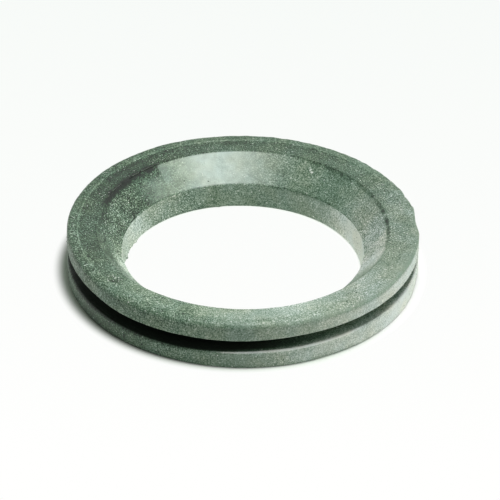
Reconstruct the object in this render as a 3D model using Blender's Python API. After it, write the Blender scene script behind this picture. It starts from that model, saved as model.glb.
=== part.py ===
"""Moulded rubber sealing ring for a flush pipe, modelled as one turned body.

Two flat flanges with a square groove between them run round the outside. The
pipe pushes into a funnel that narrows to the bore. The foot is at Z = 0 and
the axis of the ring is the Z axis.
"""
import math

import bmesh
import bpy

MM = 0.001

# The rim and the bore
OUTER_DIAMETER = 65.0 * MM
BORE_DIAMETER = 44.0 * MM
BORE_TAPER = 0.4 * MM

# The stack of flanges, measured at the rim from the foot upwards
LOWER_FLANGE = 3.6 * MM
GROOVE_WIDTH = 2.2 * MM
UPPER_FLANGE = 3.6 * MM
GROOVE_DEPTH = 4.0 * MM

# The top face: a flat land at the rim, a hair step down, a slightly dished face
FACE_WIDTH = 5.6 * MM
LAND_WIDTH = 1.95 * MM
LAND_STEP = 0.08 * MM
DISH_FALL = 0.10 * MM

# The funnel, with a small step where it leaves the top face
FUNNEL_DEPTH = 4.9 * MM
MOUTH_STEP = 0.22 * MM
MOUTH_LEDGE = 0.12 * MM

# Rounded edges, each by its radius
FOOT_ROUND = 0.45 * MM
FOOT_INNER_ROUND = 0.20 * MM
LOWER_LIP_ROUND = 0.40 * MM
UPPER_LIP_ROUND = 0.25 * MM
TOP_ROUND = 0.60 * MM
GROOVE_FILLET = 0.35 * MM
THROAT_ROUND = 0.40 * MM

# The worn stretch of the upper flange's rim, measured from +X towards +Y
WEAR_START = math.radians(-1.5)
WEAR_END = math.radians(12.5)
WEAR_DEPTH = 0.40 * MM

# Facets, and the angle between two faces from which their edge is shaded sharp
SEGMENTS = 96
ARC_STEPS = 3
FINE_ARC_STEPS = 2
SHARP_ANGLE = math.radians(30.0)

# Dull grey-green of bloomed black rubber, as linear red, green and blue
RUBBER_COLOUR = (0.150, 0.185, 0.160, 1.0)
RUBBER_ROUGHNESS = 0.62

OUTER_RADIUS = OUTER_DIAMETER / 2
BORE_RADIUS = BORE_DIAMETER / 2
THROAT_RADIUS = BORE_RADIUS + BORE_TAPER
GROOVE_RADIUS = OUTER_RADIUS - GROOVE_DEPTH
GROOVE_TOP = LOWER_FLANGE + GROOVE_WIDTH
HEIGHT = GROOVE_TOP + UPPER_FLANGE
THROAT_HEIGHT = HEIGHT - FUNNEL_DEPTH
MOUTH_RADIUS = OUTER_RADIUS - FACE_WIDTH
FACE_HEIGHT = HEIGHT - LAND_STEP


def clear_scene():
    """Remove every object that the file opened with."""
    for scene_object in list(bpy.data.objects):
        bpy.data.objects.remove(scene_object, do_unlink=True)


def rounded_corner(before, corner, after, radius, steps):
    """Points (radius, height) of an arc that rounds one corner of the section.

    The arc touches the lines from the corner to the points before and after
    it, and turns from the first line to the second in equal steps. It takes up
    no more than half of the shorter line.
    """
    to_before = (before[0] - corner[0], before[1] - corner[1])
    to_after = (after[0] - corner[0], after[1] - corner[1])
    length_before = math.hypot(*to_before)
    length_after = math.hypot(*to_after)
    heading_before = math.atan2(to_before[1], to_before[0])
    heading_after = math.atan2(to_after[1], to_after[0])
    opening = (heading_after - heading_before + math.pi) % (2 * math.pi) - math.pi
    half_opening = abs(opening) / 2
    longest_tangent = min(length_before, length_after) / 2
    tangent = min(radius / math.tan(half_opening), longest_tangent)
    radius = tangent * math.tan(half_opening)
    middle_heading = heading_before + opening / 2
    centre_distance = radius / math.sin(half_opening)
    centre = (corner[0] + centre_distance * math.cos(middle_heading),
              corner[1] + centre_distance * math.sin(middle_heading))
    sweep = math.pi - abs(opening)
    turn = -math.copysign(sweep, opening)
    start = middle_heading + math.pi - turn / 2
    return [(centre[0] + radius * math.cos(start + turn * step / steps),
             centre[1] + radius * math.sin(start + turn * step / steps))
            for step in range(steps + 1)]


def ring_section():
    """Closed section of the ring as (radius, height) points.

    It starts at the foot's inner edge and goes out along the foot, up the rim,
    in across the top face and down the funnel and the bore. Each row is a
    corner, the radius that rounds it and the steps of its arc; a radius of
    zero leaves the corner sharp.
    """
    corners = [
        ((BORE_RADIUS, 0.0), FOOT_INNER_ROUND, FINE_ARC_STEPS),
        ((OUTER_RADIUS, 0.0), FOOT_ROUND, ARC_STEPS),
        ((OUTER_RADIUS, LOWER_FLANGE), LOWER_LIP_ROUND, ARC_STEPS),
        ((GROOVE_RADIUS, LOWER_FLANGE), GROOVE_FILLET, FINE_ARC_STEPS),
        ((GROOVE_RADIUS, GROOVE_TOP), GROOVE_FILLET, FINE_ARC_STEPS),
        ((OUTER_RADIUS, GROOVE_TOP), UPPER_LIP_ROUND, FINE_ARC_STEPS),
        ((OUTER_RADIUS, HEIGHT), TOP_ROUND, ARC_STEPS),
        ((OUTER_RADIUS - LAND_WIDTH, HEIGHT), 0.0, 0),
        ((OUTER_RADIUS - LAND_WIDTH - LAND_STEP, FACE_HEIGHT), 0.0, 0),
        ((MOUTH_RADIUS + MOUTH_LEDGE, FACE_HEIGHT - DISH_FALL), 0.0, 0),
        ((MOUTH_RADIUS, FACE_HEIGHT - DISH_FALL - MOUTH_STEP), 0.0, 0),
        ((THROAT_RADIUS, THROAT_HEIGHT), THROAT_ROUND, FINE_ARC_STEPS),
    ]
    section = []
    for index, (corner, radius, steps) in enumerate(corners):
        if radius == 0.0:
            section.append(corner)
            continue
        before = corners[index - 1][0]
        after = corners[(index + 1) % len(corners)][0]
        section.extend(rounded_corner(before, corner, after, radius, steps))
    return section


def turn_section(mesh_builder, section):
    """Spin the closed section once round the Z axis into a ring of quads."""
    vertices = [mesh_builder.verts.new((radius, 0.0, height)) for radius, height in section]
    edges = [mesh_builder.edges.new((vertex, vertices[(index + 1) % len(vertices)]))
             for index, vertex in enumerate(vertices)]
    bmesh.ops.spin(
        mesh_builder,
        geom=vertices + edges,
        cent=(0.0, 0.0, 0.0),
        axis=(0.0, 0.0, 1.0),
        angle=2 * math.pi,
        steps=SEGMENTS,
        use_merge=True,
    )


def wear_rim(mesh_builder):
    """Press the worn stretch of the upper flange's rim inwards.

    The wear is a shallow hollow, half a sine wave long and deepest at its
    middle. Only points near the rim and above the groove move.
    """
    for vertex in mesh_builder.verts:
        radius = math.hypot(vertex.co.x, vertex.co.y)
        angle = math.atan2(vertex.co.y, vertex.co.x)
        near_rim = radius > OUTER_RADIUS - LAND_WIDTH / 2
        above_groove = vertex.co.z > LOWER_FLANGE + GROOVE_WIDTH / 2
        in_wear = WEAR_START < angle < WEAR_END
        if not (near_rim and above_groove and in_wear):
            continue
        share = (angle - WEAR_START) / (WEAR_END - WEAR_START)
        depth = WEAR_DEPTH * math.sin(math.pi * share)
        vertex.co.x *= (radius - depth) / radius
        vertex.co.y *= (radius - depth) / radius


def bloomed_rubber():
    """Black moulded rubber under a dull grey-green bloom."""
    material = bpy.data.materials.new("bloomed_rubber")
    material.use_nodes = True
    shader = material.node_tree.nodes["Principled BSDF"]
    shader.inputs["Base Color"].default_value = RUBBER_COLOUR
    shader.inputs["Roughness"].default_value = RUBBER_ROUGHNESS
    shader.inputs["Metallic"].default_value = 0.0
    return material


def build_sealing_ring():
    """Model the ring and link it to the scene."""
    mesh_builder = bmesh.new()
    turn_section(mesh_builder, ring_section())
    wear_rim(mesh_builder)
    bmesh.ops.recalc_face_normals(mesh_builder, faces=mesh_builder.faces)
    mesh = bpy.data.meshes.new("sealing_ring")
    mesh_builder.to_mesh(mesh)
    mesh_builder.free()
    mesh.shade_smooth()
    mesh.set_sharp_from_angle(angle=SHARP_ANGLE)
    mesh.materials.append(bloomed_rubber())
    ring = bpy.data.objects.new("sealing_ring", mesh)
    bpy.context.scene.collection.objects.link(ring)
    return ring


clear_scene()
build_sealing_ring()
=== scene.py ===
"""Dresses a moulded rubber sealing ring: bloomed black rubber, talc and a white studio.

The file is laid out as an add-on and run as a script. Lengths are in metres,
+Z is up, the ring's axis is the Z axis and its foot stands on Z = 0. Bearings
run round the ring from +X towards +Y and are written in degrees.
"""
import math
from collections import namedtuple

import bpy
import numpy as np
from mathutils import Matrix, Vector


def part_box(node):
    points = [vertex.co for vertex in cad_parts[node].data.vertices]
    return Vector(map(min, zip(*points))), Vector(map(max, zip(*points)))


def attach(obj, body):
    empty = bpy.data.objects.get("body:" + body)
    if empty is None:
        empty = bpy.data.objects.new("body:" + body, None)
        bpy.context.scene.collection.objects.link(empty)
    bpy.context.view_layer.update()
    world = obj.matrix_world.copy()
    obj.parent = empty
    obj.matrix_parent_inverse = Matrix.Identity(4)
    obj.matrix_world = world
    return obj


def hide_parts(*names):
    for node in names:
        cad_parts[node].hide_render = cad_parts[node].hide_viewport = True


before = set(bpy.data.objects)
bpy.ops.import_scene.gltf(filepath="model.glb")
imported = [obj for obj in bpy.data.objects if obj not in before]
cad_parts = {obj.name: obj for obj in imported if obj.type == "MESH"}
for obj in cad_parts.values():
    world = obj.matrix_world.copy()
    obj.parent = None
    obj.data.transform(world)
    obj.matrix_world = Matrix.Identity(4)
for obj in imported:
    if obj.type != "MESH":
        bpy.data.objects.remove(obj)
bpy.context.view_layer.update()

bl_info = {
    "name": "Sealing Ring Dresser",
    "version": (1, 0, 0),
    "blender": (4, 5, 0),
    "location": "View3D > Sidebar > Sealing Ring",
    "description": "Builds the fine surface, the bloom, the talc and the studio of a rubber sealing ring",
    "category": "Object",
}

MM = 0.001
NODE = "sealing_ring"
BODY = "root"

NODE_LOW, NODE_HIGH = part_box(NODE)
RIM_RADIUS = (NODE_HIGH.x - NODE_LOW.x) / 2
RING_HEIGHT = NODE_HIGH.z - NODE_LOW.z

# The view's frame is 500 pixels wide. In it the rim's radius measures 176.08
# pixels, and the foot's centre lies left of the frame's middle and below it.
FRAME_PIXELS = 500.0
RIM_PIXELS = 176.08
FOOT_RIGHT_PIXELS = -8.30
FOOT_UP_PIXELS = -19.43


def linear_colour(hex_code):
    """Turn an sRGB hex colour into linear red, green, blue and alpha."""
    channels = [int(hex_code[place:place + 2], 16) / 255 for place in (0, 2, 4)]
    linear = [value / 12.92 if value <= 0.04045 else ((value + 0.055) / 1.055) ** 2.4
              for value in channels]
    return (*linear, 1.0)


def length_property(name, description, default):
    """A length in metres that the sidebar shows in the scene's own units."""
    return bpy.props.FloatProperty(name=name, description=description, default=default,
                                   min=0.0, precision=5, unit="LENGTH")


def angle_property(name, description, degrees):
    """An angle whose default is written in degrees."""
    return bpy.props.FloatProperty(name=name, description=description, default=math.radians(degrees),
                                   subtype="ANGLE", unit="ROTATION")


def colour_property(name, description, hex_code):
    """A colour whose default is written as sRGB hex."""
    return bpy.props.FloatVectorProperty(name=name, description=description, subtype="COLOR",
                                         size=4, min=0.0, max=1.0,
                                         default=linear_colour(hex_code))


class SealingRingSizes(bpy.types.PropertyGroup):
    """Sizes of the ring's section."""

    rim_radius: length_property("Rim radius", "Radius over both flanges", RIM_RADIUS)
    height: length_property("Height", "Height from the foot to the top land", RING_HEIGHT)
    bore_radius: length_property("Bore radius", "Radius of the bore at the foot", 22.0 * MM)
    bore_taper: length_property("Bore taper", "How much wider the throat is than the foot, on the radius",
                                0.4 * MM)
    lower_flange: length_property("Lower flange", "Thickness of the lower flange", 3.6 * MM)
    groove_width: length_property("Groove width", "Width of the groove between the flanges", 2.2 * MM)
    groove_depth: length_property("Groove depth", "Depth of the groove from the rim", 4.0 * MM)
    face_width: length_property("Face width", "Width of the top face from rim to funnel", 5.6 * MM)
    land_width: length_property("Land width", "Width of the flat land at the rim", 1.95 * MM)
    land_step: length_property("Land step", "Fall from the land to the inner face", 0.08 * MM)
    dish_fall: length_property("Dish fall", "Fall of the inner face towards the funnel", 0.10 * MM)
    funnel_depth: length_property("Funnel depth", "Depth of the throat below the top", 4.9 * MM)
    mouth_step: length_property("Mouth step", "Fall of the step where the funnel begins", 0.22 * MM)
    mouth_ledge: length_property("Mouth ledge", "Width of the step where the funnel begins", 0.12 * MM)
    segments: bpy.props.IntProperty(name="Segments", description="Steps round the ring",
                                    default=840, min=96, max=4000)

    @property
    def groove_floor(self):
        """Radius of the groove's floor."""
        return self.rim_radius - self.groove_depth

    @property
    def groove_middle(self):
        """Height of the middle of the groove."""
        return self.lower_flange + self.groove_width / 2

    @property
    def groove_top(self):
        """Height of the groove's upper wall."""
        return self.lower_flange + self.groove_width

    @property
    def land_edge(self):
        """Radius of the land's inner edge."""
        return self.rim_radius - self.land_width

    @property
    def lit_lip(self):
        """Radius and height of the edge under the groove, a little inside its rounding."""
        return self.rim_radius - 0.14 * MM, self.lower_flange - 0.09 * MM

    @property
    def mouth(self):
        """Radius where the top face ends and the funnel begins."""
        return self.rim_radius - self.face_width

    @property
    def throat_radius(self):
        """Radius where the funnel ends and the bore begins."""
        return self.bore_radius + self.bore_taper

    @property
    def throat_height(self):
        """Height where the funnel ends and the bore begins."""
        return self.height - self.funnel_depth


class SealingRingLook(bpy.types.PropertyGroup):
    """Colours of the rubber and of what lies on it."""

    rubber: colour_property("Rubber", "Clean black rubber", "0E1610")
    dull: colour_property("Dull skin", "Thin bloom on handled rubber", "4E6952")
    bloom: colour_property("Bloom", "Thick grey-green bloom", "98A999")
    # The film's colour is also a painted highlight on the rear of the funnel
    film_and_highlight: colour_property("Film", "Smooth pale film on the funnel", "CAD8CE")
    talc: colour_property("Talc", "Talc worked into the bloom", "E8EEE6")
    grain: colour_property("Grain", "Grains of talc left from the mould", "EEF3EC")


class SealingRingStage(bpy.types.PropertyGroup):
    """The camera and the floor."""

    elevation: angle_property("Elevation", "Camera angle above the floor", 33.12)
    roll: angle_property("Roll", "Turn of the camera about its own axis", 0.72)
    distance: length_property("Distance", "From the camera to the foot's centre", 25.0 * RIM_RADIUS)
    floor_front: colour_property("Floor, front", "Paper in front of the ring", "FFFFFE")
    floor_back: colour_property("Floor, back", "Paper behind the ring", "F5F9F6")
    # A painted cast of green light thrown back by the ring into its shadow
    floor_shade: colour_property("Floor, shaded", "Paper that the ring shades", "EFFFEB")


# Section and surface of the ring

# TurnedRing is the ring before its wear. Its angle is a column with one row for
# each step round the ring. Radius, height, outward (the section's normal) and
# run (how far along the section) have one entry for each point of the section.
# Run_length is the way round the section, and girth the way round the rim.
TurnedRing = namedtuple("TurnedRing", "angle radius height outward run run_length girth")
Surface = namedtuple("Surface", "ring points normals")


def rounded_corner(before, corner, after, radius, steps):
    """Arc (radius, height) that rounds one corner of the section.

    Its centre lies on the corner's bisector at radius / sin(half the corner's
    opening), and it turns from one straight run to the next in equal steps.
    """
    to_before = np.subtract(before, corner)
    to_after = np.subtract(after, corner)
    heading = math.atan2(to_before[1], to_before[0])
    opening = (math.atan2(to_after[1], to_after[0]) - heading + math.pi) % math.tau - math.pi
    middle = heading + opening / 2
    centre_distance = radius / math.sin(abs(opening) / 2)
    centre = np.add(corner, (centre_distance * math.cos(middle), centre_distance * math.sin(middle)))
    turn = -math.copysign(math.pi - abs(opening), opening)
    bearing = middle + math.pi - turn / 2 + turn * np.linspace(0.0, 1.0, steps + 1)
    return centre + radius * np.stack([np.cos(bearing), np.sin(bearing)], axis=-1)


def section_outline(sizes):
    """Closed section of the ring, counter-clockwise, as rows of (radius, height).

    Each corner row gives its place, the radius that rounds it, the steps of
    its arc and the steps of the straight run that follows it.
    """
    rim = sizes.rim_radius
    top = sizes.height
    face = top - sizes.land_step
    dished = face - sizes.dish_fall
    corners = [
        ((sizes.bore_radius, 0.0), 0.20 * MM, 3, 6),
        ((rim, 0.0), 0.45 * MM, 4, 5),
        ((rim, sizes.lower_flange), 0.40 * MM, 5, 4),
        ((sizes.groove_floor, sizes.lower_flange), 0.35 * MM, 3, 2),
        ((sizes.groove_floor, sizes.groove_top), 0.35 * MM, 3, 4),
        ((rim, sizes.groove_top), 0.25 * MM, 4, 6),
        ((rim, top), 0.60 * MM, 6, 6),
        ((sizes.land_edge, top), 0.04 * MM, 2, 1),
        ((sizes.land_edge - sizes.land_step, face), 0.04 * MM, 2, 13),
        ((sizes.mouth + sizes.mouth_ledge, dished), 0.06 * MM, 3, 1),
        ((sizes.mouth, dished - sizes.mouth_step), 0.05 * MM, 2, 19),
        ((sizes.throat_radius, sizes.throat_height), 0.40 * MM, 4, 10),
    ]
    arcs = [rounded_corner(corners[index - 1][0], corner, corners[(index + 1) % len(corners)][0],
                           radius, steps)
            for index, (corner, radius, steps, _) in enumerate(corners)]
    pieces = []
    for index, arc in enumerate(arcs):
        run_steps = corners[index][3]
        next_start = arcs[(index + 1) % len(arcs)][0]
        share = np.linspace(0.0, 1.0, run_steps + 1)[1:-1, None]
        pieces += [arc, arc[-1] + (next_start - arc[-1]) * share]
    return np.concatenate(pieces)


def turned_ring(sizes):
    """The steps round the ring, and its section with its normals and its length."""
    outline = section_outline(sizes)
    step = np.roll(outline, -1, axis=0) - outline
    run = np.concatenate([[0.0], np.cumsum(np.hypot(step[:, 0], step[:, 1]))])
    tangent = np.roll(outline, -1, axis=0) - np.roll(outline, 1, axis=0)
    tangent /= np.hypot(tangent[:, 0], tangent[:, 1])[:, None]
    outward = np.stack([tangent[:, 1], -tangent[:, 0]], axis=-1)
    angle = np.linspace(0.0, math.tau, sizes.segments, endpoint=False)[:, None]
    return TurnedRing(angle, outline[:, 0], outline[:, 1], outward, run[:-1], run[-1],
                      math.tau * sizes.rim_radius)


def waves(ring, shortest, longest, count, seed):
    """Unevenness of unit strength that closes on itself both ways.

    It is a sum of cosines. Each goes round the ring and along the section a
    whole number of times, with a wavelength between shortest and longest and a
    seeded heading and phase. cos(a + b) is split, so the sum is two products
    of a table of angles and a table of runs.
    """
    random = np.random.default_rng(seed)
    heading = random.uniform(0.0, math.tau, count)
    length = random.uniform(shortest, longest, count)
    phase = random.uniform(0.0, math.tau, count)
    around = np.rint(ring.girth * np.cos(heading) / length)
    along = np.rint(ring.run_length * np.sin(heading) / length)
    turns = ring.angle * around + phase
    travel = math.tau * ring.run[:, None] / ring.run_length * along
    total = np.cos(turns) @ np.cos(travel).T - np.sin(turns) @ np.sin(travel).T
    return total * math.sqrt(2.0 / count)


def turn_from(ring, bearing):
    """Signed angle, in radians, from a bearing in degrees to each step round the ring."""
    return (ring.angle - np.radians(bearing) + math.pi) % math.tau - math.pi


def bumps(ring, rows):
    """Sum of Gaussian bumps round the ring, from rows of bearing, width and height.

    Each is height * exp(-((angle - bearing) / width) squared).
    """
    bearings, widths, heights = np.transpose(rows)
    share = turn_from(ring, bearings) / np.radians(widths)
    return (heights * np.exp(-share ** 2)).sum(axis=1, keepdims=True)


def smooth_step(low, high, value):
    """Zero below low, one above high, and 3 t^2 - 2 t^3 between them."""
    share = np.clip((value - low) / (high - low), 0.0, 1.0)
    return share * share * (3.0 - 2.0 * share)


def sector(ring, start, end, fade_in, fade_out):
    """One from start to end round the ring, in degrees, and fading to zero outside them."""
    middle = (start + end) / 2
    half = (end - start) / 2
    offset = (np.degrees(ring.angle) - middle + 180.0) % 360.0 - 180.0
    risen = smooth_step(-half - fade_in, -half, offset)
    return risen * (1.0 - smooth_step(half, half + fade_out, offset))


def nearness(ring, radius, height, reach):
    """One at a point of the section and falling as a Gaussian with the distance from it."""
    distance = np.hypot(ring.radius - radius, ring.height - height)
    return np.exp(-(distance / reach) ** 2)


def rim_share(ring, sizes):
    """Zero up to the land's inner edge, growing evenly to one at the rim."""
    return np.clip((ring.radius - sizes.rim_radius) / sizes.land_width + 1.0, 0.0, 1.0)


def skin_relief(ring, sizes):
    """How far the skin stands out along its normal.

    It is uneven at three lengths of wave. The crease where the funnel begins is
    sunk at the rear left. The rim's upper edge is ragged, most on the right,
    and rounded off in front.
    """
    relief = 0.016 * MM * waves(ring, 9 * MM, 40 * MM, 60, 3)
    relief += 0.008 * MM * waves(ring, 2.5 * MM, 7 * MM, 160, 5)
    relief += 0.006 * MM * waves(ring, 0.8 * MM, 2.2 * MM, 320, 7)
    crease = nearness(ring, sizes.mouth + 0.1 * MM, sizes.height - 0.25 * MM, 0.7 * MM)
    relief -= 0.07 * MM * sector(ring, 122, 156, 9, 18) * crease
    rim_edge = nearness(ring, sizes.rim_radius, sizes.height, 0.8 * MM)
    raggedness = (0.010 + 0.022 * sector(ring, 15, 75, 15, 25)) * MM
    relief += raggedness * waves(ring, 1.0 * MM, 5.0 * MM, 120, 11) * rim_edge
    return relief - 0.06 * MM * sector(ring, 212, 318, 25, 20) * rim_edge


def inward_wear(ring, sizes):
    """How far each point lies inwards of the turned ring, along the radius.

    The rim's upper edge has small seeded nicks and one clear one. A stretch of
    the upper flange is worn by a half wave, and one torn corner stands in it.
    Flash juts into the bore at the foot. The lower flange gives a little at the
    front right, and the whole ring is slightly out of round.
    """
    random = np.random.default_rng(19)
    seeded_nicks = 22
    nicks = [np.append(random.uniform(*seeded, seeded_nicks), clear)
             for seeded, clear in (((0.0, 360.0), 20.7), ((1.0, 2.6), 1.4), ((0.02, 0.08), 0.22))]
    nicks[2] *= MM
    rim_edge = nearness(ring, sizes.rim_radius, sizes.height, 0.8 * MM)
    inward = bumps(ring, np.transpose(nicks)) * rim_edge

    wear_start = -1.5
    wear_span = 14.0
    wear_depth = 0.40 * MM
    share = np.clip((np.degrees(turn_from(ring, 0.0)) - wear_start) / wear_span, 0.0, 1.0)
    wear = wear_depth * np.sin(math.pi * share)
    torn_corner = bumps(ring, [(13.4, 1.0, 0.14 * MM)])
    upper_rim = smooth_step(sizes.rim_radius - 2.0 * MM, sizes.rim_radius - 0.9 * MM, ring.radius)
    upper_rim *= ring.height > sizes.groove_middle
    inward += (wear - torn_corner) * upper_rim

    left_flash = 14
    other_flash = 10
    flash = [np.concatenate([[clear], random.uniform(*left, left_flash), random.uniform(*other, other_flash)])
             for clear, left, other in ((101.8, (152.0, 173.0), (0.0, 360.0)),
                                        (0.9, (0.8, 2.2), (0.6, 1.5)),
                                        (0.20, (0.04, 0.17), (0.02, 0.06)))]
    flash[2] *= MM
    foot_edge = nearness(ring, sizes.bore_radius, 0.1 * MM, 0.45 * MM)
    inward += bumps(ring, np.transpose(flash)) * foot_edge

    lower_rim = (ring.radius > sizes.groove_floor + 0.5 * MM) & (ring.height < sizes.groove_middle)
    give = 0.25 * MM * sector(ring, 302, 352, 16, 8)
    inward += give * lower_rim * rim_share(ring, sizes)
    return inward + bumps(ring, [(188, 42, 0.36 * MM), (105, 38, 0.12 * MM)])


def lip_lift(ring, sizes):
    """How far each point is lifted: the groove gapes on both sides and the top droops in front."""
    outer = ring.radius > sizes.groove_floor + 0.5 * MM
    lower_lip = smooth_step(sizes.lower_flange - 0.9 * MM, sizes.lower_flange - 0.3 * MM, ring.height)
    lower_lip *= outer & (ring.height < sizes.groove_middle)
    upper_lip = 1.0 - smooth_step(sizes.groove_top + 0.3 * MM, sizes.groove_top + 0.9 * MM, ring.height)
    upper_lip *= outer & (ring.height > sizes.groove_middle)
    lift = 0.48 * MM * sector(ring, 176, 210, 12, 22) * upper_lip
    lift += 0.30 * MM * sector(ring, 290, 340, 22, 20) * upper_lip
    lift -= 0.40 * MM * sector(ring, 192, 244, 16, 35) * lower_lip
    above_lip = smooth_step(sizes.groove_top + 0.2 * MM, sizes.height - 0.5 * MM, ring.height)
    droop = 0.48 * MM * sector(ring, 226, 316, 26, 24)
    return lift - droop * rim_share(ring, sizes) ** 2 * above_lip


def ring_surface(sizes):
    """Fine surface of the ring: a turned section, moved by its relief, wear, gape and droop.

    A point is (r cos a, r sin a, z), where (r, z) walks the section and a goes
    once round. The relief moves it along the section's normal, the wear along
    the radius, and the gaping lips and the drooping front along the axis.
    """
    ring = turned_ring(sizes)
    relief = skin_relief(ring, sizes)
    radius = ring.radius + relief * ring.outward[:, 0] - inward_wear(ring, sizes)
    height = ring.height + relief * ring.outward[:, 1] + lip_lift(ring, sizes)
    radius = np.minimum(radius, sizes.rim_radius)
    height = np.clip(height, 0.0, sizes.height)
    points = np.stack([radius * np.cos(ring.angle), radius * np.sin(ring.angle), height], axis=-1)
    around = np.roll(points, -1, axis=0) - np.roll(points, 1, axis=0)
    along = np.roll(points, -1, axis=1) - np.roll(points, 1, axis=1)
    normals = np.cross(around, along)
    normals /= np.linalg.norm(normals, axis=-1, keepdims=True)
    return Surface(ring, points, normals)


def grid_mesh(name, points):
    """Mesh of a grid that closes both ways, from rows round the ring and columns along the section."""
    rows, columns = points.shape[:2]
    index = np.arange(rows * columns).reshape(rows, columns)
    beside = np.roll(index, -1, axis=0)
    ahead = np.roll(index, -1, axis=1)
    across = np.roll(beside, -1, axis=1)
    quads = np.stack([index, beside, across, ahead], axis=-1).reshape(-1, 4)
    mesh = bpy.data.meshes.new(name)
    mesh.from_pydata(points.reshape(-1, 3), [], quads)
    mesh.shade_smooth()
    return mesh


def point_attribute(mesh, name, values):
    """Store one number for each point, which a material reads by name."""
    attribute = mesh.attributes.new(name, "FLOAT", "POINT")
    attribute.data.foreach_set("value", np.ascontiguousarray(values, dtype=np.float32).ravel())


# Materials


def add_node(tree, kind, inputs=None, **settings):
    """Add one node: settings are its own fields, inputs its sockets' values or what feeds them."""
    node = tree.nodes.new(kind)
    for name, value in settings.items():
        setattr(node, name, value)
    for socket, value in (inputs or {}).items():
        if isinstance(value, bpy.types.NodeSocket):
            tree.links.new(value, node.inputs[socket])
        else:
            node.inputs[socket].default_value = value
    return node


def new_material(name):
    """A material, its empty node tree, and the Object coordinates that its patterns read."""
    material = bpy.data.materials.new(name)
    material.use_nodes = True
    tree = material.node_tree
    tree.nodes.clear()
    return material, tree, add_node(tree, "ShaderNodeTexCoord").outputs["Object"]


def mottled_cover(tree, bloom, grain_share, noises):
    """Bloom with its mottle: clouds, blotches and grain, each swinging about its middle.

    The grain attribute says how strong the mottle is, and clean rubber has none.
    """
    swings = (0.14, 0.44, 1.80)
    mottle = -sum(swings) / 2
    for noise, swing in zip(noises, swings):
        mottle = add_node(tree, "ShaderNodeMath", {0: noise, 1: swing, 2: mottle},
                          operation="MULTIPLY_ADD").outputs[0]
    coated = add_node(tree, "ShaderNodeMapRange", {"Value": bloom, "From Max": 0.18}).outputs[0]
    share = add_node(tree, "ShaderNodeMath", {0: grain_share, 1: coated}, operation="MULTIPLY").outputs[0]
    return add_node(tree, "ShaderNodeMath", {0: mottle, 1: share, 2: bloom},
                    operation="MULTIPLY_ADD", use_clamp=True).outputs[0]


def round_spots(tree, place, spacing, core, strength):
    """Round spots about randomly placed points, times the strength that is fed in.

    A spot is full within its core and gone past its edge, both as shares of the spacing.
    """
    edge = 0.13
    cells = add_node(tree, "ShaderNodeTexVoronoi", {"Vector": place, "Scale": 1 / spacing})
    spot = add_node(tree, "ShaderNodeMapRange",
                    {"Value": cells.outputs["Distance"], "From Min": edge, "From Max": core}).outputs[0]
    return add_node(tree, "ShaderNodeMath", {0: strength, 1: spot}, operation="MULTIPLY").outputs[0]


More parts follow.
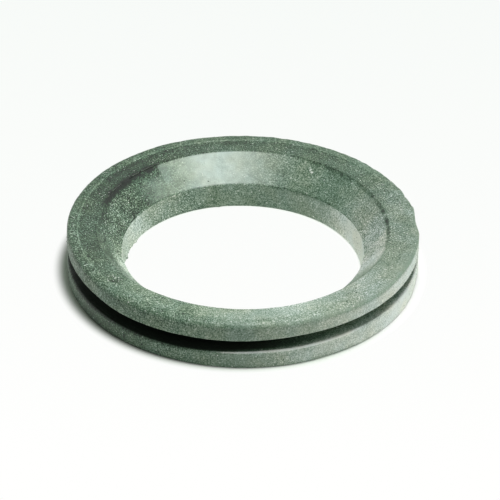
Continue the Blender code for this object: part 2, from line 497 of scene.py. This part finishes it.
def bloomed_rubber(look):
    """Compression-moulded black rubber, dulled by a grey-green bloom.

    To the eye it is nearly black where it is clean, as inside the groove, and
    dusty grey-green where wax and talc have come to the surface: mottled,
    speckled with pale grains and dark pits, and only faintly glossy. The bloom
    attribute also carries painted shade, inside the groove, along the crease and
    at the foot, and painted highlights and painted reflection along edges and on
    the right. Its hue wanders slowly between warm and cool, and a point attribute
    makes it more or less green. Seen at a low angle the dust lights up, and a
    smooth pale film with a painted highlight lies on part of the funnel.
    """
    material, tree, place = new_material("compression_moulded_rubber")
    # The bloom attribute carries painted shade and painted highlights as well as bloom, and the film
    # attribute a painted highlight as well as the film
    bloom, film_and_highlight, grain_share, green = (
        add_node(tree, "ShaderNodeAttribute", attribute_name=name).outputs["Fac"]
        for name in ("bloom", "film_and_highlight", "grain", "green"))

    # The grit of talc is a few hundredths of a millimetre, too fine to show, so
    # the grain is drawn 0.25 mm coarse. Each row is size in mm, detail, roughness.
    grain, blotch, cloud, hue = (
        add_node(tree, "ShaderNodeTexNoise",
                 {"Vector": place, "Scale": 1 / (size * MM), "Detail": detail,
                  "Roughness": roughness}).outputs["Fac"]
        for size, detail, roughness in ((0.25, 1.0, 0.6), (2.2, 3.0, 0.6), (12.0, 1.0, 0.5), (5.0, 2.0, 0.5)))
    cover = mottled_cover(tree, bloom, grain_share, (cloud, blotch, grain))
    ramp = add_node(tree, "ShaderNodeValToRGB", {"Fac": cover})
    ramp.color_ramp.elements[0].color = look.rubber
    ramp.color_ramp.elements[1].color = look.talc
    for stop, colour in ((0.38, look.dull), (0.72, look.bloom)):
        ramp.color_ramp.elements.new(stop).color = colour

    specks = round_spots(tree, place, 1.5 * MM, 0.07, bloom)
    pit_place = add_node(tree, "ShaderNodeMapping", {"Vector": place, "Location": (0.9, 0.4, 0.2)}).outputs[0]
    pits = round_spots(tree, pit_place, 1.9 * MM, 0.06, grain_share)
    pits = add_node(tree, "ShaderNodeMath", {0: pits, 1: 0.4}, operation="MULTIPLY").outputs[0]
    # The film layer is a pale film and a painted highlight together
    film_and_highlight_blotch = add_node(tree, "ShaderNodeMapRange",
                           {"Value": blotch, "From Min": 0.30, "From Max": 0.65, "To Min": 0.70}).outputs[0]
    filmed_and_lit = add_node(tree, "ShaderNodeMath", {0: film_and_highlight, 1: film_and_highlight_blotch}, operation="MULTIPLY").outputs[0]
    colour = ramp.outputs["Color"]
    for share, layer in ((specks, look.talc), (pits, look.rubber), (filmed_and_lit, look.film_and_highlight)):
        colour = add_node(tree, "ShaderNodeMix", {0: share, 6: colour, 7: layer}, data_type="RGBA").outputs[2]

    hue_share = add_node(tree, "ShaderNodeMapRange",
                         {"Value": hue, "From Min": 0.36, "From Max": 0.64}).outputs[0]
    for share, low, high in ((hue_share, "FFFDF7", "F7FCFE"), (green, "FFF4FF", "F3FFF3")):
        tint = add_node(tree, "ShaderNodeMix", {0: share, 6: linear_colour(low), 7: linear_colour(high)},
                        data_type="RGBA").outputs[2]
        colour = add_node(tree, "ShaderNodeMix", {0: 1.0, 6: colour, 7: tint},
                          data_type="RGBA", blend_type="MULTIPLY").outputs[2]

    roughness = add_node(tree, "ShaderNodeMapRange",
                         {"Value": cover, "To Min": 0.40, "To Max": 0.60}).outputs[0]
    bump = add_node(tree, "ShaderNodeBump", {"Height": grain, "Strength": 0.6, "Distance": 0.06 * MM})
    shader = add_node(tree, "ShaderNodeBsdfPrincipled",
                      {"Base Color": colour, "Roughness": roughness, "Normal": bump.outputs["Normal"],
                       "IOR": 1.52, "Specular IOR Level": 0.3, "Sheen Weight": 0.22, "Sheen Roughness": 0.45,
                       "Sheen Tint": linear_colour("CDE8CA")})
    add_node(tree, "ShaderNodeOutputMaterial", {"Surface": shader.outputs[0]})
    return material


def two_tone_flakes(name, tones, stops, finish):
    """A material whose colour wanders between two tones from one flake to the next."""
    material, tree, place = new_material(name)
    tone = add_node(tree, "ShaderNodeTexNoise", {"Vector": place, "Scale": 1 / (0.8 * MM), "Detail": 1.0})
    ramp = add_node(tree, "ShaderNodeValToRGB", {"Fac": tone.outputs["Fac"]})
    for element, colour, stop in zip(ramp.color_ramp.elements, tones, stops):
        element.color = colour
        element.position = stop
    shader = add_node(tree, "ShaderNodeBsdfPrincipled", {"Base Color": ramp.outputs["Color"], **finish})
    add_node(tree, "ShaderNodeOutputMaterial", {"Surface": shader.outputs[0]})
    return material


def talc_grain(look):
    """Milled talc, a matt white powder left from the mould. It shows as pale pin-points."""
    return two_tone_flakes("milled_talc", (look.bloom, look.grain), (0.42, 0.66), {"Roughness": 0.8})


def rubber_crumb(look):
    """Crumbs of trimmed black rubber. They show as dark, faintly glossy specks."""
    return two_tone_flakes("trimmed_rubber", (look.rubber, look.dull), (0.0, 1.0),
                           {"Roughness": 0.5, "IOR": 1.52})


def seen_rays(tree):
    """One for the camera, glossy and transmitted rays, which see the studio plain white."""
    rays = add_node(tree, "ShaderNodeLightPath").outputs
    seen = rays["Is Camera Ray"]
    for kind in ("Is Glossy Ray", "Is Transmission Ray"):
        seen = add_node(tree, "ShaderNodeMath", {0: seen, 1: rays[kind]}, operation="MAXIMUM").outputs[0]
    return seen


def studio_paper(stage):
    """Matt white paper that greys slightly towards the back and keeps the ring's shadow.

    The camera, glossy and transmitted rays see extra light on it inside the
    bore and a little way outside the rim, so it stays white there. Close to the
    rim they see it slightly yellow-green, a painted cast of green light thrown
    back by the ring into its shadow, except on the right, where the lamps
    reach up to the ring. All other rays see plain paper.
    """
    material, tree, place = new_material("studio_paper")
    parts = add_node(tree, "ShaderNodeSeparateXYZ", {0: place}).outputs
    depth = add_node(tree, "ShaderNodeMapRange",
                     {"Value": parts["Y"], "From Min": -60 * MM, "From Max": 150 * MM}).outputs[0]
    tone = add_node(tree, "ShaderNodeMix", {0: depth, 6: stage.floor_front, 7: stage.floor_back},
                    data_type="RGBA").outputs[2]
    shade_place = add_node(tree, "ShaderNodeMapping",
                           {"Vector": place, "Location": (0.35 * MM, -0.6 * MM, 0.0)}).outputs[0]
    white = 0.0
    for centred, dark, lit in ((shade_place, 32.1 * MM, 34.8 * MM), (place, 22.5 * MM, 21.5 * MM)):
        distance = add_node(tree, "ShaderNodeVectorMath", {0: centred}, operation="LENGTH").outputs["Value"]
        share = add_node(tree, "ShaderNodeMapRange",
                         {"Value": distance, "From Min": dark, "From Max": lit},
                         interpolation_type="SMOOTHSTEP").outputs[0]
        white = add_node(tree, "ShaderNodeMath", {0: white, 1: share}, operation="MAXIMUM").outputs[0]
    seen = seen_rays(tree)
    lift = add_node(tree, "ShaderNodeMath", {0: seen, 1: white}, operation="MULTIPLY").outputs[0]
    # Painted cast: left of the lit right side, the paper in the ring's shadow is tinted yellow-green
    left_of_lit = add_node(tree, "ShaderNodeMapRange",
                           {"Value": parts["X"], "From Min": 28 * MM, "From Max": 14 * MM}).outputs[0]
    shade_share = add_node(tree, "ShaderNodeMath", {0: seen, 1: left_of_lit}, operation="MULTIPLY").outputs[0]
    shaded = add_node(tree, "ShaderNodeMix", {0: shade_share, 6: tone, 7: stage.floor_shade},
                      data_type="RGBA").outputs[2]
    paper = add_node(tree, "ShaderNodeBsdfDiffuse", {"Color": shaded})
    glow = add_node(tree, "ShaderNodeEmission", {"Color": tone, "Strength": 1.0})
    both = add_node(tree, "ShaderNodeMixShader", {0: lift, 1: paper.outputs[0], 2: glow.outputs[0]})
    add_node(tree, "ShaderNodeOutputMaterial", {"Surface": both.outputs[0]})
    return material


# Bloom, film and grain on the ring

Zones = namedtuple("Zones", "top land face funnel bore upper_side lower_side")


def section_zones(ring, sizes):
    """Share of each point of the section that belongs to a zone of the ring.

    The top is the land and the inner face together. Upper_side and lower_side
    are what is left of the two flanges, above and below the groove's middle.
    """
    top = smooth_step(sizes.height - 0.45 * MM, sizes.height - 0.25 * MM, ring.height)
    land = smooth_step(sizes.height - 0.85 * MM, sizes.height - 0.35 * MM, ring.height)
    land *= ring.radius >= sizes.land_edge
    face = top * (ring.radius < sizes.land_edge)
    inner = ring.radius < sizes.mouth + 0.1 * MM
    above_throat = ring.height > sizes.throat_height
    upper = ring.height > sizes.groove_middle
    return Zones(top, land, face, (1.0 - top) * inner * above_throat, inner & ~above_throat,
                 (1.0 - face - land) * ~inner * upper, ~inner & ~upper)


def zone_bloom_and_light(ring, zones):
    """Bloom of each zone with painted light: its base, and bumps round the ring as rows of bearing, width and
    height.

    The bumps on the right of the sides and the funnel, and in the bore, are partly a painted reflection of
    the lit floor. Those at the front of the top are partly painted lamp light. The rest is uneven bloom.
    """
    rows = (
        (zones.face, 0.26, ((290, 62, 0.40), (10, 36, 0.13), (322, 10, 0.06), (345, 12, -0.06),
                            (141, 30, -0.14), (192, 24, -0.10), (222, 9, 0.06))),
        (zones.land, 0.31, ((300, 50, 0.30), (14, 38, 0.16), (70, 20, 0.06), (322, 10, 0.06),
                            (168, 34, -0.06), (228, 16, 0.05))),
        (zones.funnel, 0.32, ((0, 20, 0.26), (342, 11, 0.38), (30, 14, 0.19), (58, 13, 0.11),
                              (76, 8, 0.07), (141, 15, -0.10))),
        (zones.bore, 0.46, ((8, 38, 0.70), (160, 25, 0.34), (122, 12, 0.06))),
        (zones.upper_side, 0.42, ((338, 54, 0.50), (292, 20, 0.06), (218, 18, 0.05))),
        (zones.lower_side, 0.43, ((358, 56, 0.66), (290, 26, 0.17), (214, 18, -0.20), (240, 10, 0.06))),
    )
    return sum(zone * (base + bumps(ring, places)) for zone, base, places in rows)


def patch_change(ring, zones):
    """Worn patches, pits and dusty patches on the top, each a Gaussian about its centre.

    Each row is a bearing, a radius and a reach in millimetres, and a change.
    """
    patches = ((-108.7, 30.0, 1.6, -0.10), (-140.6, 29.2, 1.0, -0.08), (-50.0, 29.0, 1.8, -0.05),
               (-70.0, 28.6, 3.0, 0.05), (8.0, 29.5, 2.0, -0.07), (33.0, 28.2, 1.6, -0.06),
               (-142.3, 30.2, 0.45, -0.30), (-141.2, 29.9, 0.40, -0.34), (-140.1, 29.5, 0.40, -0.28),
               (-139.6, 28.4, 0.32, -0.22), (-140.7, 27.5, 0.30, -0.20), (-130.7, 28.7, 0.32, -0.22),
               (-60.6, 30.0, 0.35, -0.16), (-52.1, 30.8, 0.40, -0.18), (-64.3, 30.7, 0.35, -0.12))
    total = 0.0
    for bearing, radius, reach, change in patches:
        distance = np.hypot(turn_from(ring, bearing) * ring.radius, ring.radius - radius * MM)
        total = total + change * np.exp(-(distance / (reach * MM)) ** 2)
    return total * zones.top


def crease_shade(ring, sizes):
    """Painted shade along the crease where the funnel begins, made as a loss of bloom and broken by fine
    waves.

    Each line of the section is its radius, height and reach, and each row is a
    depth, the sector that has it and its line.
    """
    mouth = sizes.mouth
    top = sizes.height
    fine = (mouth - 0.12 * MM, top - 0.5 * MM, 0.36 * MM)
    low = (mouth - 0.38 * MM, top - 0.8 * MM, 0.34 * MM)
    wide = (mouth - 0.05 * MM, top - 0.4 * MM, 0.75 * MM)
    face_side = (mouth + 0.35 * MM, top - 0.2 * MM, 0.6 * MM)
    depth = bumps(ring, [(8, 7, 0.14), (49, 4, -0.08)]) * nearness(ring, *fine)
    depth += bumps(ring, [(16, 10, 0.07)]) * nearness(ring, *face_side)
    rows = ((0.28, (0, 44, 14, 30), fine), (0.24, (-24, 0, 16, 14), fine), (0.24, (150, 158, 10, 8), fine),
            (0.20, (163, 174, 7, 10), low), (0.27, (133, 154, 12, 16), wide))
    for share, span, line in rows:
        depth += share * sector(ring, *span) * nearness(ring, *line)
    return -depth * (1.0 + 0.35 * waves(ring, 1.0 * MM, 5.0 * MM, 60, 29))


def edge_light_and_shade(ring, sizes, zones):
    """Changes of bloom along edges, most of them painted highlights and painted shade, and in the lower and
    the upper funnel.

    Each row is a change, the sector that has it, and the radius, height and
    reach of its line of the section.
    """
    rim = sizes.rim_radius
    top = sizes.height
    throat = sizes.throat_height
    low_funnel = zones.funnel * (1.0 - smooth_step(throat + 0.8 * MM, throat + 2.7 * MM, ring.height))
    high_funnel = zones.funnel * smooth_step(throat + 2.0 * MM, throat + 3.0 * MM, ring.height)
    # A painted sheen in the lower funnel about bearing 201; elsewhere the funnel is darker about 158 low down
    # and from 172 to 196 high up
    total = bumps(ring, [(158, 22, -0.07), (201, 13, 0.50)]) * low_funnel
    total -= 0.12 * sector(ring, 172, 196, 12, 10) * high_funnel
    rows = (
        # The throat's edge: a painted highlight on the left, and darker at the rear right
        (0.45, (186, 208, 12, 10), (sizes.throat_radius, throat, 0.18 * MM)),
        (-0.22, (46, 74, 12, 8), (sizes.throat_radius, throat, 0.18 * MM)),
        # A painted highlight along the land's edge, and painted shade in a strip inside it
        (0.22, (95, 200, 20, 25), (sizes.land_edge, top, 0.18 * MM)),
        (-0.08, (62, 140, 20, 25), (sizes.land_edge - 0.85 * MM, top, 0.7 * MM)),
        # The lip under the groove: a painted highlight in front, and painted shade on the left
        (0.95, (268, 303, 8, 12), (*sizes.lit_lip, 0.18 * MM)),
        (-0.20, (180, 250, 10, 12), (rim, sizes.lower_flange, 0.5 * MM)),
        # Painted shade at the foot, where it meets the floor
        (-0.16, (185, 240, 10, 18), (rim, 0.2 * MM, 0.35 * MM)),
        (-0.34, (185, 305, 10, 20), (rim - 0.1 * MM, 0.08 * MM, 0.28 * MM)),
    )
    for change, span, line in rows:
        total += change * sector(ring, *span) * nearness(ring, *line)
    return total


def groove_shade_and_light(ring, sizes):
    """Share of its bloom that a point keeps: all outside the groove, none or some inside it.

    Inside the groove the bloom goes, partly because the rubber there is clean and partly as painted shade. On
    the right it stays deeper in and more of it stays, as painted light where the lamps reach into the groove.
    """
    lit_depth = (0.40 + 1.8 * sector(ring, 300, 318, 40, 30)) * MM
    rim_side = sizes.rim_radius - 0.08 * MM
    inside = 1.0 - smooth_step(rim_side - lit_depth, rim_side, ring.radius)
    inside *= (ring.height > sizes.lower_flange - 0.1 * MM) & (ring.height < sizes.groove_top + 0.1 * MM)
    inside *= ring.radius > sizes.groove_floor - 0.1 * MM
    kept = 0.58 * sector(ring, 305, 360, 35, 40)
    return 1.0 - inside * (1.0 - kept)


def bloom_and_light_cover(ring, sizes):
    """How thickly bloom covers each point, from 0 for clean black rubber to 1, with painted shade and painted
    highlights worked in.
    """
    zones = section_zones(ring, sizes)
    cover = 0.03 * waves(ring, 1.2 * MM, 200 * MM, 40, 23) + zone_bloom_and_light(ring, zones)
    cover += patch_change(ring, zones)
    cover += crease_shade(ring, sizes)
    cover += edge_light_and_shade(ring, sizes, zones)
    return np.clip(cover * groove_shade_and_light(ring, sizes), 0.0, 1.0)


def film_and_highlight_cover(ring, sizes):
    """Where the smooth pale film lies, brightened as a painted highlight: on the rear of the funnel, cut off
    sharply on its left.
    """
    above_throat = ring.height - sizes.throat_height
    on_funnel = smooth_step(0.0, 0.3 * MM, above_throat)
    on_funnel *= ring.radius < sizes.mouth + 0.02 * MM
    thinning = 1.0 - 0.6 * sector(ring, 124, 150, 20, 10)
    film_and_highlight = 0.92 * sector(ring, 100, 126, 42, 1.8) ** 1.5 * thinning
    low = 1.0 - smooth_step(2.3 * MM, 3.7 * MM, above_throat)
    smear = 0.27 * sector(ring, 128, 131, 2, 13) * low
    return (film_and_highlight + smear) * on_funnel


def grain_cover(ring, sizes):
    """How strongly the bloom is mottled, where 1 is the rule.

    It is less on the flanges' sides, in the bore and under the film and its painted highlight. Each row is a
    change, the sector that has it and where on the section it lies.
    """
    above_throat = ring.height > sizes.throat_height
    funnel = (ring.radius < sizes.mouth + 0.1 * MM) & above_throat
    bore = (ring.radius < sizes.mouth) & ~above_throat
    land = (ring.radius > sizes.land_edge) & (ring.height > sizes.height - 0.6 * MM)
    side = ring.radius > sizes.rim_radius - 0.5 * MM
    land_line = nearness(ring, sizes.land_edge, sizes.height, 0.3 * MM)
    rows = (
        (-0.35, (272, 335, 30, 20), 1.0),
        (0.30, (118, 205, 12, 20), 1.0),
        (0.30, (150, 205, 14, 20), funnel),
        (-0.30, (126, 140, 4, 14), funnel),
        (-0.30, (25, 65, 15, 15), funnel),
        (-0.28, (-20, 165, 15, 20), land),
        (-0.35, (95, 200, 20, 25), land_line),
        (-0.40, (268, 303, 8, 12), nearness(ring, *sizes.lit_lip, 0.25 * MM)),
        (-0.15, (300, 360, 20, 10), side),
    )
    strength = 1.0 - 0.15 * side - 0.45 * bore
    strength = strength + sum(change * sector(ring, *span) * place for change, span, place in rows)
    return strength * (1.0 - 0.3 * film_and_highlight_cover(ring, sizes))


def greenness(ring, sizes):
    """How green the bloom is: 0.5 as a rule, more at the rear left and less on the right of the top."""
    above_throat = ring.height > sizes.throat_height
    bore = (ring.radius < sizes.mouth) & ~above_throat
    right_top = above_throat & (ring.radius < sizes.rim_radius - 0.2 * MM)
    left = sector(ring, 122, 245, 16, 30) * ~bore
    right = sector(ring, -45, 22, 20, 20) * right_top
    return 0.5 + 0.23 * left - 0.26 * right


# Pieces


def show_piece(name, mesh, material):
    """Link a finished mesh as a piece of the ring that rides on its body."""
    mesh.materials.append(material)
    piece = bpy.data.objects.new(name, mesh)
    bpy.context.scene.collection.objects.link(piece)
    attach(piece, BODY)
    return piece


class SEALINGRING_OT_body(bpy.types.Operator):
    """Build the ring's fine surface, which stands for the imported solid"""

    bl_idname = "sealing_ring.body"
    bl_label = "Ring Body"

    def execute(self, context):
        sizes = context.scene.sealing_ring_sizes
        surface = ring_surface(sizes)
        mesh = grid_mesh("ring_body", surface.points)
        # The bloom attribute carries painted shade and highlights as well as bloom, and the film attribute a
        # painted highlight
        for name, values in (("bloom", bloom_and_light_cover), ("film_and_highlight", film_and_highlight_cover),
                             ("grain", grain_cover), ("green", greenness)):
            point_attribute(mesh, name, values(surface.ring, sizes))
        piece = show_piece("ring_body", mesh, bloomed_rubber(context.scene.sealing_ring_look))
        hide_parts(NODE)
        return {"FINISHED"}


def flake_mesh(name, centres, normals, spans, thicknesses, random):
    """Low closed flakes half sunk in the surface, six-sided and irregular.

    Each has a crown point, an upper and a lower ring of six points and a base
    point. A ring's point lies at span * share * (cos b, sin b) in the plane
    across the normal, times a random stretch, and at a share of the thickness
    along the normal.
    """
    sides = 6
    count = len(centres)
    first = np.cross(normals, [0.0, 0.6, 0.8])
    first /= np.linalg.norm(first, axis=1, keepdims=True)
    second = np.cross(normals, first)
    bearing = random.uniform(0.0, math.tau, (count, 1)) + np.arange(sides) * math.tau / sides
    stretch = random.uniform(0.6, 1.25, (count, sides))
    reach = spans[:, None] / 2 * stretch
    across = (reach * np.cos(bearing))[..., None] * first[:, None]
    across += (reach * np.sin(bearing))[..., None] * second[:, None]
    rise = thicknesses[:, None] * normals
    crown = centres + rise
    upper = centres[:, None] + 0.65 * across + 0.7 * rise[:, None]
    lower = centres[:, None] + across - 0.3 * rise[:, None]
    base = centres - 0.3 * rise
    points = np.concatenate([crown[:, None], upper, lower, base[:, None]], axis=1)
    side = np.arange(sides)
    after = (side + 1) % sides
    crown_fan = np.stack([np.zeros(sides, int), 1 + side, 1 + after], axis=-1)
    wall = np.concatenate([np.stack([1 + side, 1 + sides + side, 1 + sides + after], axis=-1),
                           np.stack([1 + side, 1 + sides + after, 1 + after], axis=-1)])
    base_fan = np.stack([np.full(sides, 1 + 2 * sides), 1 + sides + after, 1 + sides + side], axis=-1)
    template = np.concatenate([crown_fan, wall, base_fan])
    faces = template + np.arange(count)[:, None, None] * points.shape[1]
    mesh = bpy.data.meshes.new(name)
    mesh.from_pydata(points.reshape(-1, 3), [], faces.reshape(-1, 3))
    return mesh


def scattered_points(ring, sizes, count, clusters, marks, random):
    """Rows and columns of the surface's points on which flakes lie.

    Some lie anywhere outside the groove and off the crease: two in five of them
    about bearing 168 and the rest evenly round the ring. Each cluster adds
    flakes about a bearing and a radius in millimetres on the top face, and each
    mark adds one at a bearing and a radius and height in millimetres.
    """
    steps = len(ring.angle)
    off_groove = (ring.radius > sizes.rim_radius - 0.05 * MM) | (ring.height > 8.0 * MM)
    off_groove |= ring.radius < sizes.mouth
    off_crease = np.abs(ring.radius - sizes.mouth) > 0.5 * MM
    open_columns = np.flatnonzero(off_groove & off_crease & (ring.height > 0.3 * MM))
    bearings = np.where(random.random(count) < 0.4, random.normal(168.0, 36.0, count),
                        random.uniform(0.0, 360.0, count))
    rows = np.rint(bearings / 360.0 * steps).astype(int) % steps
    spacing = np.diff(ring.run, append=ring.run_length)[open_columns]
    columns = random.choice(open_columns, count, p=spacing / spacing.sum())
    top_columns = np.flatnonzero(ring.height > sizes.height - 0.25 * MM)
    for bearing, radius, grains in clusters:
        row = bearing / 360.0 * steps + random.normal(0.0, 5.0, grains)
        rows = np.append(rows, np.rint(row).astype(int) % steps)
        wanted = radius * MM + random.normal(0.0, 0.6 * MM, grains)
        nearest = np.abs(ring.radius[top_columns] - wanted[:, None]).argmin(axis=1)
        columns = np.append(columns, top_columns[nearest])
    for bearing, radius, height, _ in marks:
        distance = np.hypot(ring.radius - radius * MM, ring.height - height * MM)
        rows = np.append(rows, round(bearing / 360.0 * steps) % steps)
        columns = np.append(columns, distance.argmin())
    return rows, columns


def scatter_flakes(name, sizes, seed, count, spans, thickness_shares, clusters, marks=()):
    """Mesh of flakes strewn on the ring, with spans in millimetres and thickness as a share of span.

    A mark's last number is its own span in millimetres.
    """
    surface = ring_surface(sizes)
    random = np.random.default_rng(seed)
    rows, columns = scattered_points(surface.ring, sizes, count, clusters, marks, random)
    span = random.uniform(*spans, len(rows)) * MM
    span[len(span) - len(marks):] = [mark[-1] * MM for mark in marks]
    thickness = span * random.uniform(*thickness_shares, len(rows))
    return flake_mesh(name, surface.points[rows, columns], surface.normals[rows, columns],
                      span, thickness, random)


class SEALINGRING_OT_talc(bpy.types.Operator):
    """Scatter grains of talc over the rubber, thickest on the left and in a few clusters"""

    bl_idname = "sealing_ring.talc"
    bl_label = "Talc Grains"

    def execute(self, context):
        clusters = ((-140.6, 29.0, 26), (-47.0, 29.0, 18), (-40.0, 28.2, 8), (-120.0, 28.0, 12),
                    (20.0, 28.5, 12), (-5.0, 29.5, 8), (36.0, 28.4, 10))
        lump = ((60.3, 25.8, 7.9), (59.6, 25.5, 7.6), (60.9, 26.0, 8.2))
        grains = ((88.7, 23.6, 5.7), (89.3, 23.4, 5.5), (90.1, 23.4, 5.5), (90.6, 23.6, 5.7),
                  (-99.3, 32.5, 3.0), (-98.7, 32.5, 2.7), (-98.0, 32.5, 2.5), (-97.3, 32.5, 2.6),
                  (-57.1, 28.9, 9.3), (-57.9, 30.9, 9.4), (-54.4, 29.7, 9.3), (-41.9, 31.4, 9.4),
                  (-142.1, 28.9, 9.3), (-129.0, 32.2, 9.3), (-142.2, 30.6, 9.4))
        marks = [(*place, 0.60) for place in lump] + [(*place, 0.30) for place in grains]
        mesh = scatter_flakes("talc_grains", context.scene.sealing_ring_sizes, seed=41, count=1200,
                              spans=(0.10, 0.24), thickness_shares=(0.2, 0.35),
                              clusters=clusters, marks=marks)
        show_piece("talc_grains", mesh, talc_grain(context.scene.sealing_ring_look))
        return {"FINISHED"}


class SEALINGRING_OT_crumbs(bpy.types.Operator):
    """Scatter dark crumbs of trimmed rubber, thickest on the left and in a few clusters"""

    bl_idname = "sealing_ring.crumbs"
    bl_label = "Rubber Crumbs"

    def execute(self, context):
        clusters = ((-140.6, 29.2, 14), (-138.6, 28.6, 8), (-47.0, 29.4, 10), (30.0, 28.6, 6))
        mesh = scatter_flakes("rubber_crumbs", context.scene.sealing_ring_sizes, seed=43, count=110,
                              spans=(0.14, 0.32), thickness_shares=(0.25, 0.4), clusters=clusters)
        show_piece("rubber_crumbs", mesh, rubber_crumb(context.scene.sealing_ring_look))
        return {"FINISHED"}


# Stage


def soft_box(name, azimuth, elevation, distance, width, height, brightness):
    """Rectangular lamp that faces the ring. Azimuth 0 is the camera's side, and 90 is +X.

    Brightness is its radiance, where 1 is as bright as lit white paper, so its
    power is brightness * pi * its area.
    """
    lamp = bpy.data.lights.new(name, "AREA")
    lamp.shape = "RECTANGLE"
    lamp.size = width
    lamp.size_y = height
    lamp.energy = brightness * math.pi * width * height
    box = bpy.data.objects.new(name, lamp)
    across = math.radians(azimuth)
    up = math.radians(elevation)
    away = Vector((math.sin(across) * math.cos(up), -math.cos(across) * math.cos(up), math.sin(up)))
    turn = away.to_track_quat("Z", "Y").to_matrix().to_4x4()
    box.matrix_world = Matrix.Translation(away * distance) @ turn
    bpy.context.scene.collection.objects.link(box)


def studio_world(scene):
    """Plain white surroundings: full white to the camera and in gloss, dimmer as light."""
    world = bpy.data.worlds.new("white_studio")
    scene.world = world
    world.use_nodes = True
    tree = world.node_tree
    tree.nodes.clear()
    strength = add_node(tree, "ShaderNodeMapRange", {"Value": seen_rays(tree), "To Min": 0.18, "To Max": 1.0})
    sky = add_node(tree, "ShaderNodeBackground",
                   {"Color": linear_colour("FFFFFF"), "Strength": strength.outputs[0]})
    add_node(tree, "ShaderNodeOutputWorld", {"Surface": sky.outputs[0]})


def studio_floor(scene, stage):
    """A square sheet of paper on Z = 0, large enough to fill the view from any side."""
    half_side = 1.6
    corners = np.array([(-1, -1, 0), (1, -1, 0), (1, 1, 0), (-1, 1, 0)]) * half_side
    mesh = bpy.data.meshes.new("floor")
    mesh.from_pydata(corners, [], [(0, 1, 2, 3)])
    mesh.materials.append(studio_paper(stage))
    floor = bpy.data.objects.new("floor", mesh)
    scene.collection.objects.link(floor)


def place_camera(scene, stage):
    """Aim a long lens at the ring so that its foot's centre falls at its place in the frame."""
    focal_pixels = RIM_PIXELS * stage.distance / RIM_RADIUS
    away = Vector((0.0, -math.cos(stage.elevation), math.sin(stage.elevation)))
    level_up = Vector((0.0, math.sin(stage.elevation), math.cos(stage.elevation)))
    level_right = Vector((1.0, 0.0, 0.0))
    right = level_right * math.cos(stage.roll) + level_up * math.sin(stage.roll)
    up = level_up * math.cos(stage.roll) - level_right * math.sin(stage.roll)
    metres_per_pixel = stage.distance / focal_pixels
    target = -(right * FOOT_RIGHT_PIXELS + up * FOOT_UP_PIXELS) * metres_per_pixel
    position = away * stage.distance
    back = (position - target).normalized()
    right = up.cross(back).normalized()
    up = back.cross(right)
    camera = bpy.data.cameras.new("photo_camera")
    camera.lens = focal_pixels / FRAME_PIXELS * camera.sensor_width
    camera.clip_start = 0.05
    camera.clip_end = 20.0
    holder = bpy.data.objects.new("photo_camera", camera)
    turn = Matrix((right, up, back)).transposed().to_4x4()
    holder.matrix_world = Matrix.Translation(position) @ turn
    scene.collection.objects.link(holder)
    scene.camera = holder


class SEALINGRING_OT_stage(bpy.types.Operator):
    """Set up the floor, the lamps, the surroundings and the camera"""

    bl_idname = "sealing_ring.stage"
    bl_label = "Studio Stage"

    def execute(self, context):
        scene = context.scene
        stage = scene.sealing_ring_stage
        studio_floor(scene, stage)
        soft_box("near_key", azimuth=60.0, elevation=78.0, distance=0.170,
                 width=0.060, height=0.060, brightness=23.0)
        soft_box("right_window", azimuth=84.0, elevation=22.0, distance=0.40,
                 width=0.36, height=0.20, brightness=1.6)
        studio_world(scene)
        place_camera(scene, stage)
        scene.view_settings.view_transform = "Standard"
        return {"FINISHED"}


class SEALINGRING_PT_tools(bpy.types.Panel):
    """Lists the steps that dress the ring"""

    bl_idname = "SEALINGRING_PT_tools"
    bl_label = "Sealing Ring"
    bl_space_type = "VIEW_3D"
    bl_region_type = "UI"
    bl_category = "Sealing Ring"

    def draw(self, context):
        for step in STEPS:
            self.layout.operator(step.bl_idname)


PROPERTIES = {
    "sealing_ring_sizes": SealingRingSizes,
    "sealing_ring_look": SealingRingLook,
    "sealing_ring_stage": SealingRingStage,
}
STEPS = (SEALINGRING_OT_body, SEALINGRING_OT_talc, SEALINGRING_OT_crumbs, SEALINGRING_OT_stage)


def register():
    """Register the classes and hang the property groups on the scene."""
    for group in PROPERTIES.values():
        bpy.utils.register_class(group)
    for name, group in PROPERTIES.items():
        setattr(bpy.types.Scene, name, bpy.props.PointerProperty(type=group))
    for step in (*STEPS, SEALINGRING_PT_tools):
        bpy.utils.register_class(step)


def unregister():
    """Take the property groups off the scene and unregister the classes."""
    for step in (*STEPS, SEALINGRING_PT_tools):
        bpy.utils.unregister_class(step)
    for name, group in PROPERTIES.items():
        delattr(bpy.types.Scene, name)
        bpy.utils.unregister_class(group)


def main():
    """Run every step in order."""
    register()
    bpy.ops.sealing_ring.body()
    bpy.ops.sealing_ring.talc()
    bpy.ops.sealing_ring.crumbs()
    bpy.ops.sealing_ring.stage()


if __name__ == "__main__":
    main()
